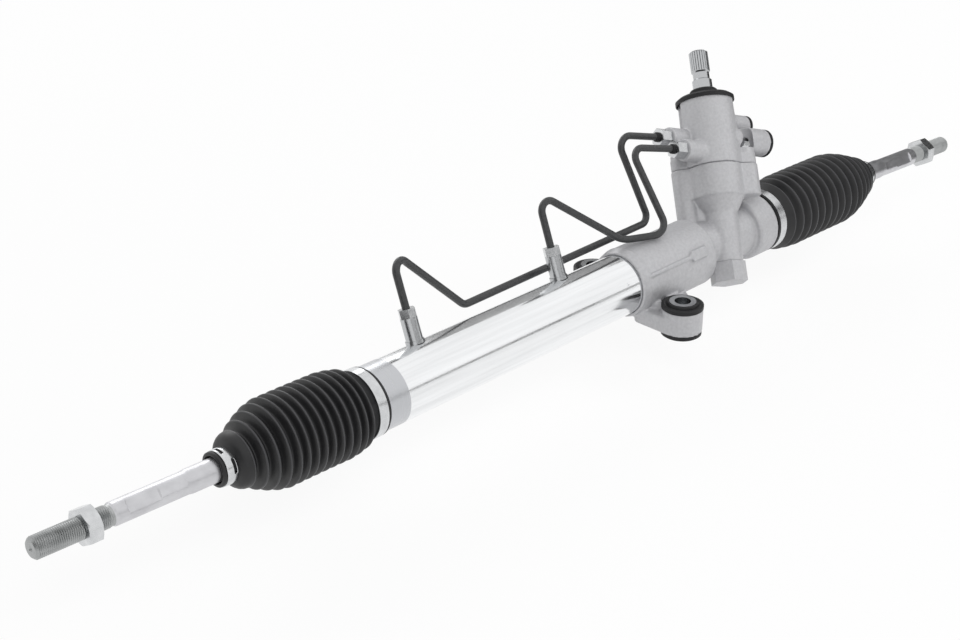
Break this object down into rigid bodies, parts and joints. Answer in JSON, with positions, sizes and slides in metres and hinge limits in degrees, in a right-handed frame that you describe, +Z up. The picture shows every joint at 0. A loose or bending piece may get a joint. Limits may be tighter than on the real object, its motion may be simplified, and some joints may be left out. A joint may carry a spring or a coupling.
{
  "type": "steering rack",
  "caption": "Hydraulic rack-and-pinion steering gear with its assist cylinder, valve tower, pipes, mounting bushes, bellows boots and inner tie rods.",
  "frame": {"origin": "centre of the front mounting bolt hole, on the face of its sleeve that sits on the crossmember", "axes": "+X along the rack towards the pinion end, +Z up along the mounting bolts, +Y away from the front mounting bush"},
  "size_m": [1.051, 0.1448, 0.187],
  "materials": {
    "cast_aluminium": "as-cast satin",
    "polished_tube": "drawn and polished",
    "ground_steel": "ground",
    "zinc_plate": "zinc plated",
    "black_tube_paint": "satin black",
    "black_rubber": "matt",
    "black_plastic": "matt",
    "bearing_plastic": "natural",
    "sintered_guide": "machined"
  },
  "bodies": {
    "housing": {"rack_housing": "cast_aluminium", "cylinder_tube": "polished_tube", "cylinder_end_cap": "polished_tube", "cylinder_port_bosses": "polished_tube", "end_cap_bush": "bearing_plastic", "end_cap_rod_seal": "black_rubber", "inner_seal_holder": "polished_tube", "inner_rod_seal": "black_rubber", "rack_end_bush": "bearing_plastic", "rack_guide": "sintered_guide", "rack_guide_spring": "ground_steel", "rack_guide_plug": "zinc_plate", "rack_guide_lock_nut": "zinc_plate", "pinion_bearing_outer_race": "ground_steel", "pinion_bearing_balls": "ground_steel", "pinion_upper_bearing": "ground_steel", "pinion_bottom_cap": "zinc_plate", "valve_housing": "cast_aluminium", "valve_housing_bolts": "zinc_plate", "input_shaft_bearing": "ground_steel", "input_shaft_seal": "black_rubber", "seal_retaining_ring": "ground_steel", "dust_cover": "black_rubber", "upper_pressure_pipe": "black_tube_paint", "lower_pressure_pipe": "black_tube_paint", "cylinder_pipe_nuts": "zinc_plate", "valve_pipe_nuts": "zinc_plate", "pressure_port_plug": "black_plastic", "return_port_plug": "black_plastic", "left_boot": "black_rubber", "right_boot": "black_rubber", "left_boot_band": "zinc_plate", "right_boot_band": "zinc_plate", "front_bush_rubber": "black_rubber", "rear_bush_rubber": "black_rubber", "front_bush_sleeve": "ground_steel", "rear_bush_sleeve": "ground_steel"},
    "rack": {"rack_bar": "ground_steel", "piston": "ground_steel", "piston_ring": "bearing_plastic", "left_ball_socket": "ground_steel", "right_ball_socket": "ground_steel", "left_lock_washer": "ground_steel", "right_lock_washer": "ground_steel"},
    "left_seat": {"left_ball_seat": "bearing_plastic"},
    "right_seat": {"right_ball_seat": "bearing_plastic"},
    "left_rod": {"left_tie_rod": "zinc_plate", "left_jam_nut": "zinc_plate", "left_boot_clip": "zinc_plate"},
    "right_rod": {"right_tie_rod": "zinc_plate", "right_jam_nut": "zinc_plate", "right_boot_clip": "zinc_plate"},
    "pinion_and_sleeve": {"pinion": "ground_steel", "pinion_bearing_inner_race": "ground_steel", "pinion_lock_nut": "ground_steel", "valve_sleeve": "ground_steel", "valve_sleeve_rings": "bearing_plastic", "torsion_bar": "ground_steel"},
    "input": {"input_shaft": "ground_steel"}
  },
  "joints": [
    {"name": "rack_slide", "type": "slide", "parent": "housing", "child": "rack", "axis": [1, 0, 0], "range_m": [-0.0785, 0.0415], "deforming": ["left_boot", "right_boot"]},
    {"name": "pinion_turn", "type": "hinge", "parent": "housing", "child": "pinion_and_sleeve", "pos_m": [0.1, 0.037, 0.04318], "axis": [0.342, 0.498, 0.7969], "range_deg": [-322, 606]},
    {"name": "input_twist", "type": "hinge", "parent": "pinion_and_sleeve", "child": "input", "pos_m": [0.1, 0.037, 0.04318], "axis": [0.342, 0.498, 0.7969], "range_deg": [-4, 4], "stiffness_Nm_per_rad": 60},
    {"name": "left_ball_swing", "type": "hinge", "parent": "rack", "child": "left_seat", "pos_m": [-0.3805, 0.0493, 0.0355], "axis": [0, 0, 1], "range_deg": [-18, 18]},
    {"name": "left_ball_nod", "type": "hinge", "parent": "left_seat", "child": "left_rod", "pos_m": [-0.3805, 0.0493, 0.0355], "axis": [0, 1, 0], "range_deg": [-19.6, 16.4]},
    {"name": "right_ball_swing", "type": "hinge", "parent": "rack", "child": "right_seat", "pos_m": [0.2785, 0.0493, 0.0355], "axis": [0, 0, 1], "range_deg": [-18, 18]},
    {"name": "right_ball_nod", "type": "hinge", "parent": "right_seat", "child": "right_rod", "pos_m": [0.2785, 0.0493, 0.0355], "axis": [0, 1, 0], "range_deg": [-20.9, 15.1]}
  ],
  "couplings": [
    {"joint": "pinion_turn", "follows": "rack_slide", "rad_per_m": -134.24}
  ]
}
